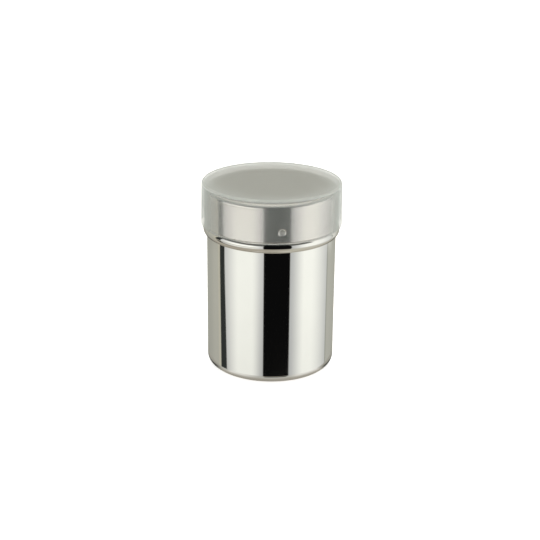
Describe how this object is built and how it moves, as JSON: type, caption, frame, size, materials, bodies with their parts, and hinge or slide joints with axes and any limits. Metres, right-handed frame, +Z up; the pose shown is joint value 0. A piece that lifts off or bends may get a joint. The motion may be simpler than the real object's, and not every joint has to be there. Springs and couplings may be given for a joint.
{
  "type": "mesh-top spice shaker",
  "caption": "Stainless steel shaker with a bayonet lid that holds a fine mesh screen, and a translucent push-on cap, for dusting ground spice, sugar or cocoa.",
  "frame": {"origin": "centre of the cup's base, on the surface it stands on", "axes": "+Z up the cup's axis; the pictured front faces -Y"},
  "size_m": [0.076, 0.076, 0.1044],
  "materials": {
    "polished_steel": "mirror-polished stainless steel",
    "satin_steel": "satin stainless steel",
    "steel_wire": "fine woven stainless wire",
    "frosted_plastic": "translucent frosted polyethylene"
  },
  "bodies": {
    "cup": {"cup": "polished_steel"},
    "lid": {"lid_collar": "polished_steel", "mesh_screen": "steel_wire", "screen_ring": "satin_steel"},
    "cap": {"snap_cap": "frosted_plastic"}
  },
  "joints": [
    {"name": "lid_twist", "type": "hinge", "parent": "cup", "child": "lid", "pos_m": [0, 0, 0.0863], "axis": [0, 0, 1], "range_deg": [0, 30]},
    {"name": "cap_lift", "type": "slide", "parent": "lid", "child": "cap", "axis": [0, 0, 1], "range_m": [0, 0.035]}
  ]
}
